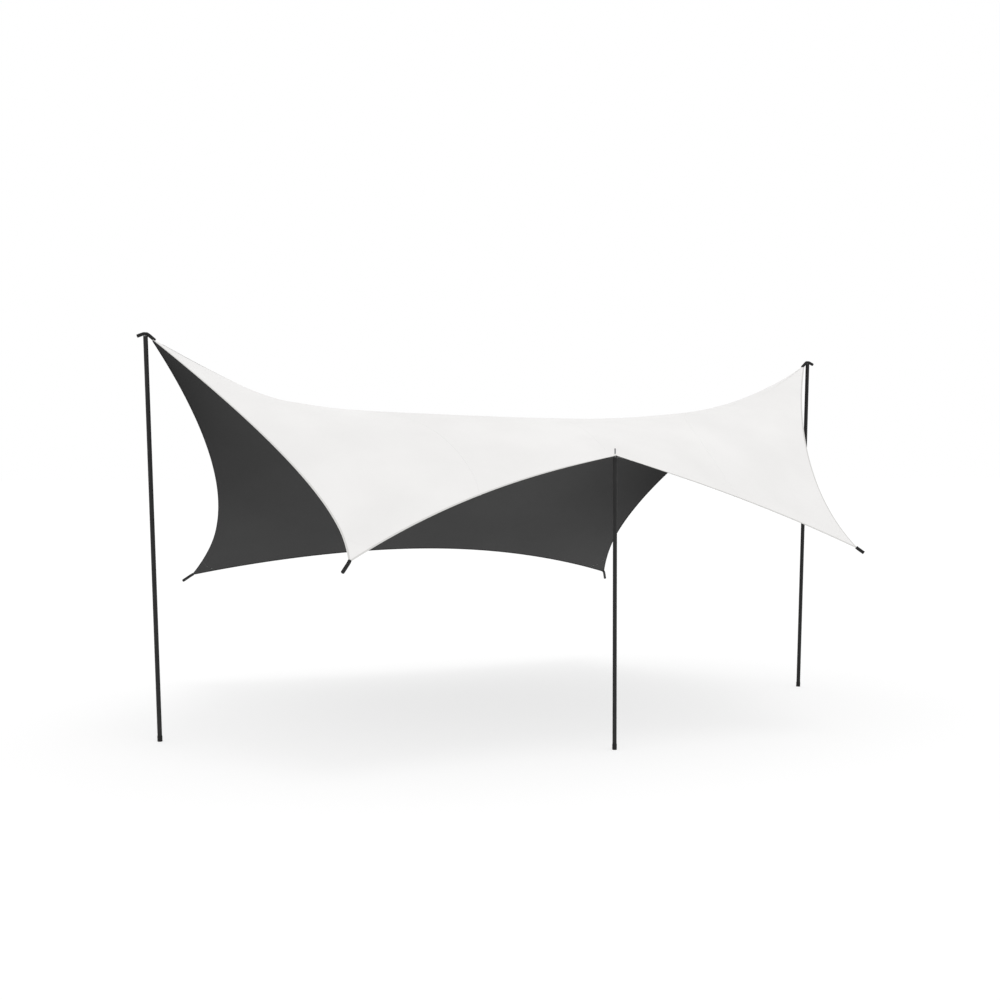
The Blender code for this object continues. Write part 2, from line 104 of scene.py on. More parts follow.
# Pull in the cloth, against the pull across the ridge at its middle
PULL_ALONG = 0.1951
PULL_ALONG_AT_EDGES = (2.406, 1.688)
PULL_ALONG_AT_POLES = -1.110
PULL_ALONG_BEHIND = 0.172
PULL_ALONG_RIGHT = 0.231
PULL_ACROSS_AT_EDGES = 0.724
PULL_ACROSS_AT_POLES = (-1.035, 0.784)
PULL_ACROSS_BEHIND = -0.399
PULL_ACROSS_RIGHT = -0.057
LIFT = 0.0120

# Cloth, hems, seams and doubled corners
CLOTH_THICKNESS = 0.8 * MM
HEM_WIDTH = 10 * MM
HEM_HALF_HEIGHT = 1.3 * MM
SEAM_WIDTH = 12 * MM
SEAM_HEIGHT = 0.75 * MM
SEAM_SLOPE = 0.5 * MM
SEAM_SINK = 0.1 * MM
SEAMS_ACROSS = {"left": 8, "middle": 16, "right": 24}
PATCH_THICKNESS = 1.5 * MM
CORNER_PATCH_REACH = 0.20
PEAK_PATCH_REACH = 0.22
PORCH_PATCH_REACH = 0.11
PATCH_HOLLOW = 0.16
PATCH_RINGS = 14
PATCH_FAN = 20
PATCH_STITCH_INSETS = (4 * MM, 9 * MM)

# Where the thread of a hem runs, measured round the hem from its inner edge on top
HEM_THREAD_ABOVE = 3 * MM
HEM_THREAD_BELOW = 21 * MM

# Webbing sleeves and thread
STRAP_RADIUS = 10.5 * MM
STRAP_SIDES = 36
STRAP_STEP = 3 * MM
STRAP_LAST_STEP = 4 * MM
BEND_CUTS = 3
BEND_SHARE = 0.18
CORNER_TRIM = 18 * MM
PEAK_TRIM = 20 * MM
PEAK_OVERLAP = 34 * MM
STRAP_BEND = 12 * MM
TAB_BEND = 12 * MM
TAB_REACH = 50 * MM
TAB_DROP = 16 * MM
STITCH_PITCH = 4.0 * MM
STITCH_LENGTH = 3.0 * MM
THREAD_RADIUS = 0.3 * MM
WHIPPING = (5 * MM, 8 * MM, 11 * MM)

# End of a sleeve, from its tucked-in middle out to its side: millimetres in, and share of
# the radius
STRAP_END = ((2.2, 0.50), (0.9, 0.58), (0.1, 0.74), (0.0, 0.84), (0.7, 0.95), (2.2, 1.0))

# Each corner strap: its reach past the corner, and its heading and dip in degrees
CORNER_STRAPS = {
    "front_left": (0.076, -139.7, 36.9),
    "front_right": (0.042, -41.8, 35.6),
    "back_left": (0.086, 140.0, 32.0),
    "back_right": (0.070, 47.3, 57.0),
}

# Eyelets
EYELET_INSET = 14 * MM
EYELET_HOLE = 5 * MM
EYELET_RIM = 9 * MM
EYELET_BELOW = 4 * MM
EYELET_ABOVE = 10 * MM
COLLAR_SIDES = 40
BUSHING_RADIUS = 6.3 * MM
BUSHING_SIDES = 32
PUNCH_LENGTH = 60 * MM

# Angles in degrees over which an edge stays sharp
SHARP_CLOTH = 40.0
SHARP_FOLDS = 60.0
SHARP_SLEEVE = 50.0
SHARP_TURNED = 30.0

# Patterns of the materials: spacings in metres, and noise in waves per metre
WEAVE_SPACING = 1.4 * MM
WEAVE_HEIGHT = 0.05 * MM
DYE_WAVES = 2.2
SLACK_WAVES = 5.0
SLACK_HEIGHT = 0.6 * MM
RIB_SPACING = 1.8 * MM
COLUMN_WIDTH = 2.5 * MM
RIB_HEIGHT = 0.18 * MM
THREAD_HEIGHT = 0.3 * MM
TWIST_WAVES = 1.0 / (1.5 * MM)
PLASTIC_GRAIN_WAVES = 1.0 / (0.5 * MM)
PEEL_WAVES = 1.0 / (1.5 * MM)
WEAR_WAVES = 9.0
GRIT_WAVES = 1.0 / (0.6 * MM)
DUST_WAVES = 40.0
RING_WAVES = 1.0 / (0.4 * MM)

# Camera, matched to the picture
CAMERA_FROM_RIDGE = (-3.8589, -8.0909, 1.6684)
CAMERA_YAW = 0.4333
CAMERA_PITCH = -0.0228
CAMERA_LENS = 46.656
SENSOR_WIDTH = 36.0

# Light
SKY_STRENGTH = 1.0
SUN_STRENGTH = 0.42
SUN_SOFTNESS = 24.0
SUN_TILT = (8.0, 6.0)
FLOOR_GLOW = 0.70
UNDER_SIZE = (4.6, 1.0)
UNDER_PLACE = (0.2, 1.75, 0.02)
UNDER_POWER = 48.0
FLOOR_GREY = 0.30
FLOOR_SIZE = 400.0
VIEW_REACH = 1000.0


def ridge_offset():
    """Where the middle of the ridge stands, from the feet of the two peak poles."""
    left_low, left_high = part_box("left_pole_foot")
    right_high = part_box("right_pole_foot")[1]
    x = (left_low.x + right_high.x) / 2
    y = (left_low.y + left_high.y) / 2
    return np.array((x, y, 0.0))


# Net of the cloth


def net_knot(along, across):
    return along * (NET_ACROSS + 1) + across


def held_knots():
    """The seven knots that poles and stakes hold, with their places."""
    middle_across = NET_ACROSS // 2
    middle_along = NET_ALONG // 2
    return {
        net_knot(0, middle_across): (-PEAK_X, 0.0, PEAK_Z),
        net_knot(NET_ALONG, middle_across): (PEAK_X, 0.0, PEAK_Z),
        net_knot(middle_along, 0): PORCH_CORNER,
        net_knot(0, 0): FRONT_LEFT_CORNER,
        net_knot(NET_ALONG, 0): FRONT_RIGHT_CORNER,
        net_knot(0, NET_ACROSS): BACK_LEFT_CORNER,
        net_knot(NET_ALONG, NET_ACROSS): BACK_RIGHT_CORNER,
    }


def pull_along(u, v):
    """Force density of a link that runs along the ridge."""
    out = abs(2 * v - 1)
    end = abs(2 * u - 1)
    linear, square = PULL_ALONG_AT_EDGES
    power = linear * out + square * out**2 + PULL_ALONG_AT_POLES * end**2
    power += PULL_ALONG_BEHIND * (2 * v - 1) + PULL_ALONG_RIGHT * (2 * u - 1)
    return PULL_ALONG * math.exp(power)


def pull_across(u, v):
    """Force density of a link that runs from front to back."""
    out = abs(2 * v - 1)
    end = abs(2 * u - 1)
    square, fourth = PULL_ACROSS_AT_POLES
    power = square * end**2 + fourth * end**4 + PULL_ACROSS_AT_EDGES * out**2
    power += PULL_ACROSS_BEHIND * (2 * v - 1) + PULL_ACROSS_RIGHT * (2 * u - 1)
    return math.exp(power)


def pull_in_edge(name, links, share):
    """Force density of an edge link, at its share of the way to the edge's low end."""
    pull, growth = EDGE_PULLS[name]
    return pull * links * math.exp(growth * (2 * share - 1))


def net_links():
    """Every link of the net as first knot, second knot and force density."""
    links = []
    half = NET_ALONG // 2
    for i in range(NET_ALONG):
        u = (i + 0.5) / NET_ALONG
        for j in range(1, NET_ACROSS):
            pull = pull_along(u, j / NET_ACROSS)
            links.append((net_knot(i, j), net_knot(i + 1, j), pull))
        back = pull_in_edge("back", NET_ALONG, u)
        front = pull_in_edge("front_left" if u < 0.5 else "front_right", half, abs(2 * u - 1))
        links.append((net_knot(i, NET_ACROSS), net_knot(i + 1, NET_ACROSS), back))
        links.append((net_knot(i, 0), net_knot(i + 1, 0), front))
    for j in range(NET_ACROSS):
        v = (j + 0.5) / NET_ACROSS
        for i in range(1, NET_ALONG):
            pull = pull_across(i / NET_ALONG, v)
            links.append((net_knot(i, j), net_knot(i, j + 1), pull))
        part = "front" if v < 0.5 else "back"
        for i, side in ((0, "left"), (NET_ALONG, "right")):
            pull = pull_in_edge(f"{side}_{part}", NET_ACROSS // 2, abs(2 * v - 1))
            links.append((net_knot(i, j), net_knot(i, j + 1), pull))
    return links


def relaxed_net():
    """Places of all knots once the pulls at every free knot balance."""
    count = (NET_ALONG + 1) * (NET_ACROSS + 1)
    balance = np.zeros((count, count))
    for first, second, pull in net_links():
        balance[first, first] += pull
        balance[second, second] += pull
        balance[first, second] -= pull
        balance[second, first] -= pull
    held = held_knots()
    fixed = sorted(held)
    free = [knot for knot in range(count) if knot not in held]
    places = np.zeros((count, 3))
    places[fixed] = [held[knot] for knot in fixed]
    load = -balance[np.ix_(free, fixed)] @ places[fixed]
    load[:, 2] += LIFT
    places[free] = np.linalg.solve(balance[np.ix_(free, free)], load)
    return places.reshape(NET_ALONG + 1, NET_ACROSS + 1, 3)


def smooth_line(knots, steps):
    """Points on the smooth line through the knots, with that many steps from knot to knot."""
    slopes = np.empty_like(knots)
    slopes[1:-1] = (knots[2:] - knots[:-2]) / 2
    slopes[0] = 2 * (knots[1] - knots[0]) - slopes[1]
    slopes[-1] = 2 * (knots[-1] - knots[-2]) - slopes[-2]
    points = [knots[0]]
    for k in range(len(knots) - 1):
        for step in range(1, steps + 1):
            t = step / steps
            start = (1 + 2 * t) * (1 - t) ** 2 * knots[k] + t * (1 - t) ** 2 * slopes[k]
            end = t**2 * (3 - 2 * t) * knots[k + 1] + t**2 * (t - 1) * slopes[k + 1]
            points.append(start + end)
    return np.array(points)


def lengths_along(points):
    """Distance of each point from the first, along the line."""
    steps = np.linalg.norm(np.diff(points, axis=0), axis=1)
    return np.concatenate([[0.0], np.cumsum(steps)])


def even_line(knots):
    """The same line with its knots at equal distances."""
    points = smooth_line(knots, LINE_STEPS)
    reach = lengths_along(points)
    wanted = np.linspace(0.0, reach[-1], len(knots))
    return np.stack([np.interp(wanted, reach, points[:, axis]) for axis in range(3)], axis=1)


def by_halves(change, line, middle):
    """Changes a line on each side of its middle knot, where it may have a corner."""
    first = change(line[: middle + 1])
    second = change(line[middle:])
    return np.concatenate([first, second[1:]])


def evened_net(net):
    """The net with its knots spread evenly on each side of the ridge and of the porch pole."""
    rows = [by_halves(even_line, net[:, j], NET_ALONG // 2) for j in range(NET_ACROSS + 1)]
    net = np.stack(rows, axis=1)
    columns = [by_halves(even_line, net[i], NET_ACROSS // 2) for i in range(NET_ALONG + 1)]
    return np.stack(columns, axis=0)


def fine_net(net):
    """The net with smooth lines between its knots, FINE steps to each link."""

    def refine(line):
        return smooth_line(line, FINE)

    rows = [by_halves(refine, net[:, j], NET_ALONG // 2) for j in range(NET_ACROSS + 1)]
    net = np.stack(rows, axis=1)
    columns = [by_halves(refine, column, NET_ACROSS // 2) for column in net]
    return np.stack(columns, axis=0)


def unit(vectors):
    return vectors / np.linalg.norm(vectors, axis=-1, keepdims=True)


def net_normals(net):
    """Upward normals of the cloth at every knot."""
    return unit(np.cross(np.gradient(net, axis=0), np.gradient(net, axis=1)))


def read_net(values, p, q):
    """A value of the net at any address, p along and q across, in fine knots."""
    i = min(int(p), values.shape[0] - 2)
    j = min(int(q), values.shape[1] - 2)
    a = p - i
    b = q - j
    near = values[i, j] * (1 - b) + values[i, j + 1] * b
    far = values[i + 1, j] * (1 - b) + values[i + 1, j + 1] * b
    return near * (1 - a) + far * a


# Making pieces


def place_item(name, data):
    item = bpy.data.objects.new(name, data)
    bpy.context.collection.objects.link(item)
    return item


def give_piece(name, mesh, materials, sharp_angle=SHARP_CLOTH):
    """Turns a bmesh into a named piece that rides on the tarp."""
    bmesh.ops.recalc_face_normals(mesh, faces=mesh.faces)
    data = bpy.data.meshes.new(name)
    mesh.to_mesh(data)
    mesh.free()
    for material in materials:
        data.materials.append(material)
    data.shade_smooth()
    data.set_sharp_from_angle(angle=math.radians(sharp_angle))
    item = place_item(name, data)
    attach(item, "root")
    return item


def thicken(mesh, outward, thickness):
    """Gives an open sheet its thickness, half to each side, with its underside in slot 1."""
    for vert in mesh.verts:
        vert.co -= vert[outward] * thickness / 2
    faces = list(mesh.faces)
    made = bmesh.ops.extrude_face_region(mesh, geom=faces, use_keep_orig=True)
    for item in made["geom"]:
        if isinstance(item, bmesh.types.BMVert):
            item.co += item[outward] * thickness
    for face in faces:
        face.material_index = 1


def trim_tip(mesh, tip, away, depth):
    """Cuts the point off a piece square to the pull and closes the cut."""
    plane = tip - away * depth
    everything = mesh.verts[:] + mesh.edges[:] + mesh.faces[:]
    bmesh.ops.bisect_plane(
        mesh, geom=everything, plane_co=plane, plane_no=away, clear_outer=True
    )
    rim = [edge for edge in mesh.edges if edge.is_boundary]
    bmesh.ops.edgeloop_fill(mesh, edges=rim)


def sheet_of(points, normals, uvs):
    """A grid laid over rows of points, with its normals kept on each vertex."""
    rows, columns = points.shape[:2]
    mesh = bmesh.new()
    outward = mesh.verts.layers.float_vector.new("outward")
    bmesh.ops.create_grid(mesh, x_segments=rows - 1, y_segments=columns - 1, size=1.0)
    uv = mesh.loops.layers.uv.new("UVMap")
    address = {}
    for vert in mesh.verts:
        i = round((vert.co.x + 1) / 2 * (rows - 1))
        j = round((vert.co.y + 1) / 2 * (columns - 1))
        address[vert] = (i, j)
        vert.co = points[i, j]
        vert[outward] = normals[i, j]
    for face in mesh.faces:
        for loop in face.loops:
            loop[uv].uv = uvs[address[loop.vert]]
    return mesh, outward


def swept(profile, frames, face_material=None, scales=None):
    """A closed bar that carries one profile along a row of frames (origin, side, up)."""
    scales = scales or [1.0] * len(frames)
    mesh = bmesh.new()
    spot = mesh.verts.layers.int.new("spot")
    step = mesh.verts.layers.int.new("step")
    count = len(profile)
    ring = bmesh.ops.create_circle(mesh, segments=count, radius=1.0)["verts"]
    for k, vert in enumerate(ring):
        vert[spot] = k
    edges = list(mesh.edges)
    start = edges
    for k, (origin, side, up) in enumerate(frames):
        if k > 0:
            made = bmesh.ops.extrude_edge_only(mesh, edges=edges)["geom"]
            ring = [item for item in made if isinstance(item, bmesh.types.BMVert)]
            new = set(ring)
            edges = [
                item
                for item in made
                if isinstance(item, bmesh.types.BMEdge) and set(item.verts) <= new
            ]
        for vert in ring:
            x, y = profile[vert[spot]]
            vert.co = origin + (side * x + up * y) * scales[k]
            vert[step] = k
    for face in mesh.faces:
        spots = {vert[spot] for vert in face.verts}
        first = count - 1 if spots == {0, count - 1} else min(spots)
        if face_material is not None:
            face.material_index = face_material(first)
    lay_uv(mesh, spot, step, profile, frames)
    bmesh.ops.edgeloop_fill(mesh, edges=start)
    bmesh.ops.edgeloop_fill(mesh, edges=edges)
    return mesh


def lay_uv(mesh, spot, step, profile, frames):
    """Unrolls a swept bar, in metres: u along it and v round its profile."""
    along = lengths_along(np.array([station[0] for station in frames]))
    around = lengths_along(np.array([*profile, profile[0]]))
    last = len(profile) - 1
    uv = mesh.loops.layers.uv.new("UVMap")
    for face in mesh.faces:
        wraps = {vert[spot] for vert in face.verts} == {0, last}
        for loop in face.loops:
            k = loop.vert[spot]
            v = around[-1] if wraps and k == 0 else around[k]
            loop[uv].uv = (along[loop.vert[step]], v)


def turned(profile, sides):
    """A closed round body, from its outline as radius and height, low to high."""
    mesh = bmesh.new()
    verts = [mesh.verts.new((radius, 0.0, height)) for radius, height in profile]
    edges = [mesh.edges.new(pair) for pair in zip(verts, verts[1:])]
    if profile[0][0] > 0:
        edges.append(mesh.edges.new((verts[-1], verts[0])))
    bmesh.ops.spin(
        mesh,
        geom=verts + edges,
        cent=(0, 0, 0),
        axis=(0, 0, 1),
        angle=2 * math.pi,
        steps=sides,
        use_merge=True,
    )
    bmesh.ops.remove_doubles(mesh, verts=mesh.verts, dist=1e-6)
    return mesh


def lay_stitches(mesh, points, normals, lift):
    """Lays a row of stitches along a line, one every STITCH_PITCH."""
    reach = lengths_along(points)
    count = max(1, int(reach[-1] / STITCH_PITCH))
    for middle in (np.arange(count) + 0.5) * reach[-1] / count:
        ahead = min(middle + STITCH_PITCH / 4, reach[-1])
        behind = max(middle - STITCH_PITCH / 4, 0.0)
        place = read_line(points, reach, middle)
        way = unit(read_line(points, reach, ahead) - read_line(points, reach, behind))
        up = unit(read_line(normals, reach, middle))
        lay_stitch(mesh, place + up * lift, way, up)


def read_line(values, reach, distance):
    return np.array([np.interp(distance, reach, values[:, axis]) for axis in range(3)])


def lay_stitch(mesh, place, way, up):
    """One stitch: a slim rounded bead of thread, sunk at both ends."""
    side = np.cross(up, way)
    turn = Matrix((way, side, up)).transposed().to_4x4()
    size = Matrix.Diagonal((STITCH_LENGTH / 2, THREAD_RADIUS, THREAD_RADIUS, 1.0))
    matrix = Matrix.Translation(Vector(place)) @ turn @ size
    bmesh.ops.create_icosphere(mesh, subdivisions=1, radius=1.0, matrix=matrix)


# Materials


def srgb(code):
    """A hex colour as linear red, green, blue and alpha."""
    values = [int(code[k : k + 2], 16) / 255 for k in (1, 3, 5)]
    linear = [v / 12.92 if v <= 0.04045 else ((v + 0.055) / 1.055) ** 2.4 for v in values]
    return (*linear, 1.0)


def add_node(tree, kind, inputs, **settings):
    """Adds a node with its settings, and fills its inputs with values or links."""
    made = tree.nodes.new(kind)
    for name, value in settings.items():
        setattr(made, name, value)
    for key, value in inputs.items():
        socket = made.inputs[key]
        if isinstance(value, bpy.types.NodeSocket):
            tree.links.new(value, socket)
        else:
            socket.default_value = value
    return made


def new_material(name, roughness, metallic=0.0, specular=0.5):
    material = bpy.data.materials.new(name)
    material.use_nodes = True
    tree = material.node_tree
    shader = tree.nodes["Principled BSDF"]
    shader.inputs["Roughness"].default_value = roughness
    shader.inputs["Metallic"].default_value = metallic
    shader.inputs["Specular IOR Level"].default_value = specular
    return material, tree, shader


def math_node(tree, operation, first, second=0.0):
    inputs = {0: first, 1: second}
    return add_node(tree, "ShaderNodeMath", inputs, operation=operation).outputs[0]


def surface_uv(tree):
    """The two addresses on the piece's own surface, in metres."""
    place = add_node(tree, "ShaderNodeTexCoord", {}).outputs["UV"]
    parts = add_node(tree, "ShaderNodeSeparateXYZ", {0: place})
    return parts.outputs["X"], parts.outputs["Y"]


def wave_along(tree, address, length):
    """A sine wave of that length in metres along one address of the surface."""
    turn = math_node(tree, "MULTIPLY", address, 2 * math.pi / length)
    return math_node(tree, "SINE", turn)


def plain_weave(tree, u, v, spacing):
    """Height of a plain weave: threads over and under, one every spacing."""
    warp = wave_along(tree, u, 2 * spacing)
    weft = wave_along(tree, v, 2 * spacing)
    return math_node(tree, "MULTIPLY", warp, weft)


def noise_of(tree, scale, detail=2.0, vector=None):
    place = vector or add_node(tree, "ShaderNodeTexCoord", {}).outputs["Object"]
    inputs = {"Vector": place, "Scale": scale, "Detail": detail}
    return add_node(tree, "ShaderNodeTexNoise", inputs).outputs["Fac"]


def ramp_of(tree, fac, low, high, low_at=0.3, high_at=0.7):
    """Two colours with a soft change between them."""
    made = add_node(tree, "ShaderNodeValToRGB", {"Fac": fac})
    made.color_ramp.elements[0].position = low_at
    made.color_ramp.elements[0].color = srgb(low)
    made.color_ramp.elements[1].position = high_at
    made.color_ramp.elements[1].color = srgb(high)
    return made.outputs["Color"]


def bump_of(tree, height, distance, strength=1.0, below=None):
    inputs = {"Height": height, "Distance": distance, "Strength": strength}
    if below is not None:
        inputs["Normal"] = below
    return add_node(tree, "ShaderNodeBump", inputs).outputs["Normal"]


def coated_cloth(name, low, high, roughness, specular):
    """Woven polyester with a coating: matt, with a faint weave close by. Its dye drifts over
    about half a metre and it hangs a trace slack, which keeps broad faces from looking flat.
    The real threads are 0.5 mm apart; they are drawn at 1.4 mm so that they show."""
    material, tree, shader = new_material(name, roughness, 0.0, specular)
    u, v = surface_uv(tree)
    weave = plain_weave(tree, u, v, WEAVE_SPACING)
    dye = noise_of(tree, DYE_WAVES, 3.0)
    tree.links.new(ramp_of(tree, dye, low, high), shader.inputs["Base Color"])
    slack = bump_of(tree, noise_of(tree, SLACK_WAVES, 1.0), SLACK_HEIGHT, 0.5)
    tree.links.new(bump_of(tree, weave, WEAVE_HEIGHT, 0.6, slack), shader.inputs["Normal"])
    return material


def stitched_hem(name, cloth_code, thread_code, line_at, roughness, specular):
    """Cloth folded over twice and sewn down, in the given cloth colour, with one
    row of raised stitches along it. On the pale face that colour is darker than the cloth:
    painted shade along the rim."""
    material, tree, shader = new_material(name, roughness, 0.0, specular)
    u, v = surface_uv(tree)
    off = math_node(tree, "ABSOLUTE", math_node(tree, "SUBTRACT", v, line_at))
    on_line = math_node(tree, "LESS_THAN", off, THREAD_RADIUS)
    beat = math_node(tree, "FRACT", math_node(tree, "DIVIDE", u, STITCH_PITCH))
    on_stitch = math_node(tree, "LESS_THAN", beat, STITCH_LENGTH / STITCH_PITCH)
    thread = math_node(tree, "MULTIPLY", on_line, on_stitch)
    tree.links.new(ramp_of(tree, thread, cloth_code, thread_code), shader.inputs["Base Color"])
    weave = plain_weave(tree, u, v, WEAVE_SPACING)
    fold = bump_of(tree, weave, WEAVE_HEIGHT, 0.6)
    tree.links.new(bump_of(tree, thread, THREAD_HEIGHT, 0.8, fold), shader.inputs["Normal"])
    return material


def woven_webbing():
    """Polyester webbing, dyed nearly black: heavy ribs across the strap, in columns along
    it, which break up the light so that it looks rougher and duller than the poles. Its
    tone has painted shade: darker in the grooves between the ribs, lighter on their crests."""
    material, tree, shader = new_material("woven_webbing", 0.8, 0.0, 0.15)
    u, v = surface_uv(tree)
    rib = wave_along(tree, u, RIB_SPACING)
    column = wave_along(tree, v, COLUMN_WIDTH)
    height = math_node(tree, "ADD", rib, math_node(tree, "MULTIPLY", rib, column))
    # Painted shade: the tone follows the rib height, darker in the grooves between the ribs and
    # lighter on their crests.
    shade = math_node(tree, "MULTIPLY_ADD", height, 0.25)
    tree.links.new(ramp_of(tree, shade, "#1E1E1E", "#2C2C2C"), shader.inputs["Base Color"])
    tree.links.new(bump_of(tree, height, RIB_HEIGHT, 0.7), shader.inputs["Normal"])
    return material


def moulded_pale_plastic():
    """Pale nylon from a lightly textured mould: a fine grain that softens its highlight."""
    material, tree, shader = new_material("moulded_pale_plastic", 0.55, 0.0, 0.3)
    grain = noise_of(tree, PLASTIC_GRAIN_WAVES, 2.0)
    tree.links.new(ramp_of(tree, grain, "#DEDDDA", "#E4E3E0"), shader.inputs["Base Color"])
    tree.links.new(bump_of(tree, grain, 0.03 * MM, 0.5), shader.inputs["Normal"])
    return material


def bonded_thread(name, code):
    """Twisted sewing thread with a wax bond, which gives each stitch a small glint."""
    material, tree, shader = new_material(name, 0.5, 0.0, 0.3)
    shader.inputs["Base Color"].default_value = srgb(code)
    twist = noise_of(tree, TWIST_WAVES, 1.0)
    tree.links.new(bump_of(tree, twist, 0.05 * MM, 0.5), shader.inputs["Normal"])
    return material


def powder_coated_steel():
    """Steel tube with a black powder coat: its fine orange peel breaks the long highlight,
    and handling has left it a trace lighter in places."""
    material, tree, shader = new_material("powder_coated_steel", 0.55, 0.0, 0.16)
    peel = noise_of(tree, PEEL_WAVES, 2.0)
    wear = noise_of(tree, WEAR_WAVES, 4.0)
    tree.links.new(ramp_of(tree, wear, "#232323", "#292929"), shader.inputs["Base Color"])
    tree.links.new(bump_of(tree, peel, 0.04 * MM, 0.5), shader.inputs["Normal"])
    return material


def moulded_rubber():
    """Rubber from a sanded mould: dull and gritty, with a little pale dust in it."""
    material, tree, shader = new_material("moulded_rubber", 0.85, 0.0, 0.15)
    grit = noise_of(tree, GRIT_WAVES, 3.0)
    dust = noise_of(tree, DUST_WAVES, 3.0)
    tree.links.new(ramp_of(tree, dust, "#222222", "#2B2A29"), shader.inputs["Base Color"])
    tree.links.new(bump_of(tree, grit, 0.05 * MM, 0.6), shader.inputs["Normal"])
    return material


def turned_metal(name, low, high, roughness):
    """Metal from a lathe: fine rings round the axis, which draw the highlight out sideways."""
    material, tree, shader = new_material(name, roughness, 1.0)
    place = add_node(tree, "ShaderNodeTexCoord", {}).outputs["Object"]
    flat = add_node(tree, "ShaderNodeMapping", {"Vector": place, "Scale": (0.02, 0.02, 1.0)})
    rings = noise_of(tree, RING_WAVES, 2.0, flat.outputs["Vector"])
    tree.links.new(ramp_of(tree, rings, low, high), shader.inputs["Base Color"])
    tree.links.new(bump_of(tree, rings, 0.02 * MM, 0.4), shader.inputs["Normal"])
    return material


def studio_floor():
    """Floor lit from below: it runs into the white behind it and keeps only a soft shadow."""
    material, tree, shader = new_material("studio_floor", 1.0, 0.0, 0.0)
    shader.inputs["Base Color"].default_value = (FLOOR_GREY, FLOOR_GREY, FLOOR_GREY, 1.0)
    shader.inputs["Emission Color"].default_value = (1.0, 1.0, 1.0, 1.0)
    shader.inputs["Emission Strength"].default_value = FLOOR_GLOW
    return material


# The cloth and what is sewn on it


def corner_of(cloth, i, j):
    """Tip, outward direction and normal of the cloth at a low corner."""
    points, normals = cloth
    tip = points[i, j]
    normal = normals[i, j]
    near_i = i + FINE if i == 0 else i - FINE
    near_j = j + FINE if j == 0 else j - FINE
    back = unit(points[i, near_j] - tip) + unit(points[near_i, j] - tip)
    away = -unit(back - back @ normal * normal)
    return Vector(tip), Vector(away), Vector(normal)


def peak_of(cloth, i, j):
    """Tip of the cloth at a peak and the direction in which the ridge runs out there."""
    points = cloth[0]
    tip = points[i, j]
    near_i = i + FINE if i == 0 else i - FINE
    return Vector(tip), Vector(unit(tip - points[near_i, j]))


def trims_of(cloth):
    """Every point of the cloth that is cut off: its tip, outward direction and depth."""
    trims = []
    for address in corner_addresses().values():
        trims.append((*corner_of(cloth, *address)[:2], CORNER_TRIM))
    for address in peak_addresses().values():
        trims.append((*peak_of(cloth, *address), PEAK_TRIM))
    return trims


def corner_addresses():
    last_along = NET_ALONG * FINE
    last_across = NET_ACROSS * FINE
    return {
        "front_left": (0, 0),
        "front_right": (last_along, 0),
        "back_left": (0, last_across),
        "back_right": (last_along, last_across),
    }


def peak_addresses():
    middle = NET_ACROSS * FINE // 2
    return {"left": (0, middle), "right": (NET_ALONG * FINE, middle)}


def cloth_addresses(points):
    """Distances over the cloth from its middle lines, along and across, in metres."""
    rows, columns = points.shape[:2]
    middle_row = rows // 2
    middle_column = columns // 2
    u = np.stack([lengths_along(points[:, j]) for j in range(columns)], axis=1)
    v = np.stack([lengths_along(points[i]) for i in range(rows)], axis=0)
    u -= u[middle_row]
    v -= v[:, middle_column][:, None]
    return np.stack([u, v], axis=2)


def make_canopy(cloth, materials):
    """The whole cloth as one sheet, trimmed at its four corners and its two peaks."""
    points, normals = cloth
    mesh, outward = sheet_of(points, normals, cloth_addresses(points))
    thicken(mesh, outward, CLOTH_THICKNESS)
    for tip, away, depth in trims_of(cloth):
        trim_tip(mesh, tip, away, depth)
    return give_piece("canopy", mesh, materials)


def line_frames(points, normals, inward_hint):
    """Frames along a line on the cloth, with their side turned towards the hint."""
    ways = unit(np.gradient(points, axis=0))
    frames = []
    for point, way, normal, hint in zip(points, ways, normals, inward_hint):
        side = np.cross(normal, way)
        side = side * math.copysign(1.0, side @ hint)
        frames.append((Vector(point), Vector(unit(side)), Vector(normal)))
    return frames


def hem_profile():
    """Outline of a folded hem, from its inner edge on top round the fold to below."""
    w = HEM_WIDTH
    h = HEM_HALF_HEIGHT
    foot = CLOTH_THICKNESS / 2
    top = [(w, foot), (w - 0.6 * MM, h), (w / 2, h * 1.08), (1.2 * MM, h), (0.2 * MM, h * 0.7)]
    nose = [(-0.3 * MM, 0.0)]
    return top + nose + [(x, -y) for x, y in reversed(top)]


def hem_material(first):
    """Slot of a hem face: the pale fold on top, the dark one below."""
    return 0 if first < 5 else 1


def rim_of(cloth, name):
    """Points, normals and inward directions along one edge of the cloth."""
    points, normals = cloth
    middle_along = NET_ALONG * FINE // 2
    middle_across = NET_ACROSS * FINE // 2
    rims = {
        "back_hem": (slice(None), -1),
        "front_left_hem": (slice(middle_along + 1), 0),
        "front_right_hem": (slice(middle_along, None), 0),
        "left_front_hem": (0, slice(middle_across + 1)),
        "left_back_hem": (0, slice(middle_across, None)),
        "right_front_hem": (-1, slice(middle_across + 1)),
        "right_back_hem": (-1, slice(middle_across, None)),
    }
    rim = rims[name]
    next_line = {0: 1, -1: -2}
    inner = tuple(part if isinstance(part, slice) else next_line[part] for part in rim)
    return points[rim], normals[rim], points[inner] - points[rim]


def make_hem(cloth, name, materials, tips):
    """The folded and sewn hem along one edge, trimmed where a strap leaves the cloth."""
    frames = line_frames(*rim_of(cloth, name))
    mesh = swept(hem_profile(), frames, hem_material)
    for tip, away, depth in tips:
        near = min((frames[k][0] - tip).length for k in (0, -1))
        if near < 1e-6:
            trim_tip(mesh, tip, away, depth)
    item = give_piece(f"{name}_fold", mesh, materials, SHARP_FOLDS)
    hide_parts(name)
    return item


